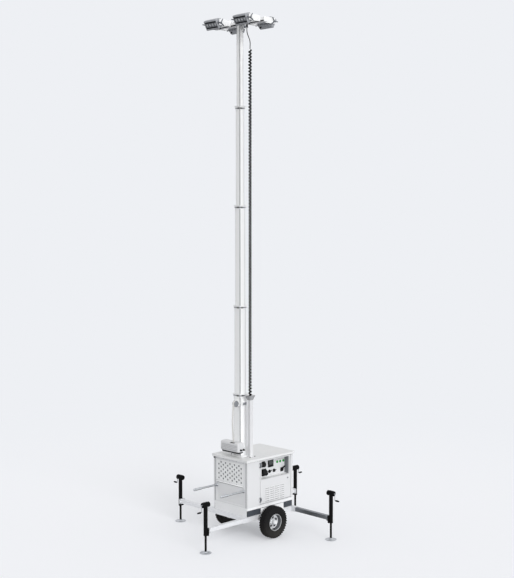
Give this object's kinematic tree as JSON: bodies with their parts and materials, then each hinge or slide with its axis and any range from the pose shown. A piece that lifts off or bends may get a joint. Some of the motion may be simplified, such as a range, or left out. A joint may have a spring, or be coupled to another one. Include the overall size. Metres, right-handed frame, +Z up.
{
  "type": "mobile light tower",
  "caption": "Two-wheeled generator cabinet with a square telescopic mast, floodlights on a cross bar, and extending stabilisers with screw jacks.",
  "frame": {"origin": "on the ground under the middle of the cabinet, which is the middle of the stabiliser pinwheel", "axes": "+X towards the control panel side, -Y towards the push handles, +Z up the mast"},
  "size_m": [2.186, 2.396, 6.365],
  "materials": {
    "white_paint": "satin white powder coat",
    "cabinet_grey": "satin light grey powder coat",
    "light_grey": "satin grey paint",
    "frame_paint": "matt dark blue grey paint",
    "black_paint": "satin black paint",
    "zinc": "zinc plated",
    "rim_silver": "silver paint",
    "tyre": "matt black",
    "cable_rubber": "matt black",
    "lamp_housing": "grey coated die casting",
    "bare_steel": "bare"
  },
  "bodies": {
    "root": {"cabinet_lid": "white_paint", "control_panel": "white_paint", "mast_base": "white_paint", "winch_housing": "white_paint", "cable_tube": "white_paint", "cabinet_front_panel": "cabinet_grey", "front_grille": "cabinet_grey", "cabinet_rear_panel": "cabinet_grey", "cabinet_side_right": "cabinet_grey", "cabinet_side_left": "cabinet_grey", "front_beam": "light_grey", "rear_beam": "light_grey", "axle_beam": "light_grey", "floor_pan": "light_grey", "frame_rails": "frame_paint", "generator_block": "frame_paint", "stabiliser_sleeves": "zinc", "push_handle_right": "zinc", "push_handle_left": "zinc", "coil_cable": "cable_rubber", "mast_pulley": "bare_steel", "winch_rope": "bare_steel"},
    "wheel_right": {"tyre_right": "tyre", "rim_right": "rim_silver"},
    "wheel_left": {"tyre_left": "tyre", "rim_left": "rim_silver"},
    "mast_2": {"mast_section_2": "white_paint"},
    "mast_3": {"mast_section_3": "white_paint"},
    "mast_4": {"mast_section_4": "white_paint"},
    "mast_head": {"mast_section_5": "white_paint", "lamp_bar": "white_paint", "coil_lead": "cable_rubber"},
    "door_right": {"door_right": "cabinet_grey", "louvres_right": "cabinet_grey"},
    "door_left": {"door_left": "cabinet_grey", "louvres_left": "cabinet_grey"},
    "stabiliser_front_left": {"arm_front_left": "zinc", "jack_body_front_left": "black_paint"},
    "foot_front_left": {"jack_leg_front_left": "black_paint"},
    "stabiliser_front_right": {"arm_front_right": "zinc", "jack_body_front_right": "black_paint"},
    "foot_front_right": {"jack_leg_front_right": "black_paint"},
    "stabiliser_rear_right": {"arm_rear_right": "zinc", "jack_body_rear_right": "black_paint"},
    "foot_rear_right": {"jack_leg_rear_right": "black_paint"},
    "stabiliser_rear_left": {"arm_rear_left": "zinc", "jack_body_rear_left": "black_paint"},
    "foot_rear_left": {"jack_leg_rear_left": "black_paint"},
    "lamp_front_left": {"floodlight_front_left": "lamp_housing"},
    "lamp_front_right": {"floodlight_front_right": "lamp_housing"},
    "lamp_rear_left": {"floodlight_rear_left": "lamp_housing"},
    "lamp_rear_right": {"floodlight_rear_right": "lamp_housing"}
  },
  "joints": [
    {"name": "wheel_right_spin", "type": "hinge", "parent": "root", "child": "wheel_right", "pos_m": [0.4, -0.055, 0.2], "axis": [1, 0, 0], "continuous": true},
    {"name": "wheel_left_spin", "type": "hinge", "parent": "root", "child": "wheel_left", "pos_m": [-0.4, -0.055, 0.2], "axis": [1, 0, 0], "continuous": true},
    {"name": "mast_lower_2", "type": "slide", "parent": "root", "child": "mast_2", "axis": [0, 0, -1], "range_m": [0, 1.04], "deforming": ["coil_cable"]},
    {"name": "mast_lower_3", "type": "slide", "parent": "mast_2", "child": "mast_3", "axis": [0, 0, -1], "range_m": [0, 1.18]},
    {"name": "mast_lower_4", "type": "slide", "parent": "mast_3", "child": "mast_4", "axis": [0, 0, -1], "range_m": [0, 1.15]},
    {"name": "mast_lower_5", "type": "slide", "parent": "mast_4", "child": "mast_head", "axis": [0, 0, -1], "range_m": [0, 0.92]},
    {"name": "arm_in_front_left", "type": "slide", "parent": "root", "child": "stabiliser_front_left", "axis": [1, 0, 0], "range_m": [0, 0.43]},
    {"name": "leg_raise_front_left", "type": "slide", "parent": "stabiliser_front_left", "child": "foot_front_left", "axis": [0, 0, 1], "range_m": [-0.08, 0.14]},
    {"name": "arm_in_front_right", "type": "slide", "parent": "root", "child": "stabiliser_front_right", "axis": [0, 1, 0], "range_m": [0, 0.43]},
    {"name": "leg_raise_front_right", "type": "slide", "parent": "stabiliser_front_right", "child": "foot_front_right", "axis": [0, 0, 1], "range_m": [-0.08, 0.14]},
    {"name": "arm_in_rear_right", "type": "slide", "parent": "root", "child": "stabiliser_rear_right", "axis": [-1, 0, 0], "range_m": [0, 0.43]},
    {"name": "leg_raise_rear_right", "type": "slide", "parent": "stabiliser_rear_right", "child": "foot_rear_right", "axis": [0, 0, 1], "range_m": [-0.08, 0.14]},
    {"name": "arm_in_rear_left", "type": "slide", "parent": "root", "child": "stabiliser_rear_left", "axis": [0, -1, 0], "range_m": [0, 0.43]},
    {"name": "leg_raise_rear_left", "type": "slide", "parent": "stabiliser_rear_left", "child": "foot_rear_left", "axis": [0, 0, 1], "range_m": [-0.08, 0.14]},
    {"name": "door_right_open", "type": "hinge", "parent": "root", "child": "door_right", "pos_m": [0.308, -0.18, 0.69], "axis": [0, 0, -1], "range_deg": [0, 110]},
    {"name": "door_left_open", "type": "hinge", "parent": "root", "child": "door_left", "pos_m": [-0.308, 0.18, 0.69], "axis": [0, 0, -1], "range_deg": [0, 110]},
    {"name": "tilt_front_left", "type": "hinge", "parent": "mast_head", "child": "lamp_front_left", "pos_m": [-0.255, -0.43, 6.292], "axis": [1, 0, 0], "range_deg": [-30, 60]},
    {"name": "tilt_front_right", "type": "hinge", "parent": "mast_head", "child": "lamp_front_right", "pos_m": [0.255, -0.43, 6.292], "axis": [1, 0, 0], "range_deg": [-30, 60]},
    {"name": "tilt_rear_left", "type": "hinge", "parent": "mast_head", "child": "lamp_rear_left", "pos_m": [-0.255, -0.03, 6.292], "axis": [-1, 0, 0], "range_deg": [-30, 60]},
    {"name": "tilt_rear_right", "type": "hinge", "parent": "mast_head", "child": "lamp_rear_right", "pos_m": [0.255, -0.03, 6.292], "axis": [-1, 0, 0], "range_deg": [-30, 60]}
  ],
  "couplings": [
    {"joint": "mast_lower_3", "follows": "mast_lower_2", "ratio": 1.1346},
    {"joint": "mast_lower_4", "follows": "mast_lower_2", "ratio": 1.1058},
    {"joint": "mast_lower_5", "follows": "mast_lower_2", "ratio": 0.88462}
  ]
}
